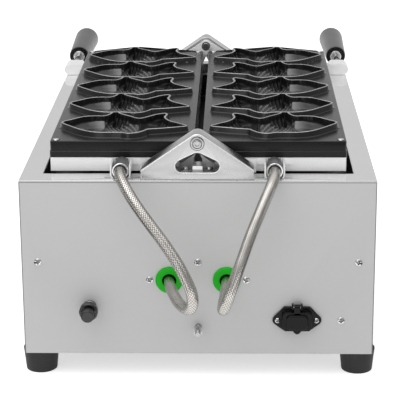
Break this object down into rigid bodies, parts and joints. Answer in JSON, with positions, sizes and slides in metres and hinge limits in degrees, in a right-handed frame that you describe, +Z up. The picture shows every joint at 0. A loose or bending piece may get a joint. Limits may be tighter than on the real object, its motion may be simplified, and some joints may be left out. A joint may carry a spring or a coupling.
{
  "type": "fish cake machine",
  "caption": "Countertop maker of fish-shaped filled cakes: a steel casing under heated mould plates that fold onto each other about one long axis, with braided heater conduits and handles.",
  "frame": {"origin": "middle of the footprint from the reset button to the ends of the grips, conduits left out, on the surface the feet stand on", "axes": "+Z up, +Y from the conduit side towards the operator, +X to the right as seen from the conduit side"},
  "size_m": [0.377, 0.7605, 0.2603],
  "materials": {
    "casing": "satin stainless sheet",
    "bright_steel": "polished stainless",
    "cast_alloy": "vibratory-finished casting",
    "nonstick": "black non-stick coating, satin",
    "fastener": "bright zinc",
    "bronze": "sintered bronze",
    "element_sheath": "heat-tinted sheath",
    "insulation_board": "pressed mineral board",
    "gland_cast": "rough die casting",
    "conduit_braid": "braided steel over glass sleeve",
    "green_rubber": "smooth",
    "foot_rubber": "matte",
    "black_plastic": "moulded, semi-gloss",
    "grip_plastic": "moulded, satin",
    "reset_metal": "nickel neck, black ring",
    "control_body": "zinc case",
    "red_plastic": "translucent red",
    "lamp_lens": "amber",
    "porcelain": "glazed"
  },
  "bodies": {
    "base": {"left_side_panel": "casing", "right_side_panel": "casing", "rear_panel": "casing", "control_panel": "casing", "base_plate": "casing", "deck": "bright_steel", "well_tray": "casing", "rear_brace": "casing", "feet": "foot_rubber", "foot_screws": "fastener", "panel_screws": "fastener", "rear_pedestal": "cast_alloy", "front_pedestal": "cast_alloy", "pedestal_bolts": "fastener", "rear_pivot_pin": "fastener", "front_pivot_pin": "fastener", "inlet_socket": "black_plastic", "inlet_blades": "bright_steel", "inlet_screws": "fastener", "cover_pin": "fastener", "reset_body": "reset_metal", "earth_stud": "fastener", "grommets": "green_rubber", "left_conduit": "conduit_braid", "right_conduit": "conduit_braid", "thermostat": "control_body", "timer": "control_body", "switch_frame": "black_plastic", "pilot_lamps": "lamp_lens", "terminal_block": "porcelain"},
    "left_mould": {"left_mould_plate": "nonstick", "left_heater_housing": "bright_steel", "left_heating_element": "element_sheath", "left_insulation": "insulation_board", "left_hinge_arms": "bright_steel", "left_bushes": "bronze", "left_gland": "gland_cast", "left_gland_guard": "bright_steel", "left_handle_bracket": "bright_steel", "left_handle_rod": "fastener", "left_grip": "grip_plastic", "left_screws": "fastener"},
    "right_mould": {"right_mould_plate": "nonstick", "right_heater_housing": "bright_steel", "right_heating_element": "element_sheath", "right_insulation": "insulation_board", "right_hinge_arms": "bright_steel", "right_bushes": "bronze", "right_gland": "gland_cast", "right_gland_guard": "bright_steel", "right_handle_bracket": "bright_steel", "right_handle_rod": "fastener", "right_grip": "grip_plastic", "right_screws": "fastener"},
    "cover": {"inlet_cover": "black_plastic"},
    "reset": {"reset_button": "black_plastic"},
    "thermostat_dial": {"thermostat_knob": "black_plastic"},
    "timer_dial": {"timer_knob": "black_plastic"},
    "rocker": {"switch_rocker": "red_plastic"}
  },
  "joints": [
    {"name": "left_mould_hinge", "type": "hinge", "parent": "base", "child": "left_mould", "pos_m": [0, 0, 0.25065], "axis": [0, 1, 0], "range_deg": [0, 180.1], "deforming": ["left_conduit"]},
    {"name": "right_mould_hinge", "type": "hinge", "parent": "base", "child": "right_mould", "pos_m": [0, 0, 0.25065], "axis": [0, -1, 0], "range_deg": [0, 180.1], "deforming": ["right_conduit"]},
    {"name": "inlet_cover_hinge", "type": "hinge", "parent": "base", "child": "cover", "pos_m": [0.102, -0.3313, 0.0788], "axis": [-1, 0, 0], "range_deg": [0, 120]},
    {"name": "reset_press", "type": "slide", "parent": "base", "child": "reset", "axis": [0, 1, 0], "range_m": [0, 0.0025], "stiffness_N_per_m": 400, "springref_m": -0.0015},
    {"name": "thermostat_turn", "type": "hinge", "parent": "base", "child": "thermostat_dial", "pos_m": [-0.096, 0.1879, 0.1205], "axis": [0, 1, 0], "range_deg": [0, 270]},
    {"name": "timer_turn", "type": "hinge", "parent": "base", "child": "timer_dial", "pos_m": [0.096, 0.1879, 0.1205], "axis": [0, 1, 0], "range_deg": [0, 300]},
    {"name": "rocker_tilt", "type": "hinge", "parent": "base", "child": "rocker", "pos_m": [0, 0.1879, 0.1205], "axis": [0, 0, 1], "range_deg": [0, 16]}
  ]
}
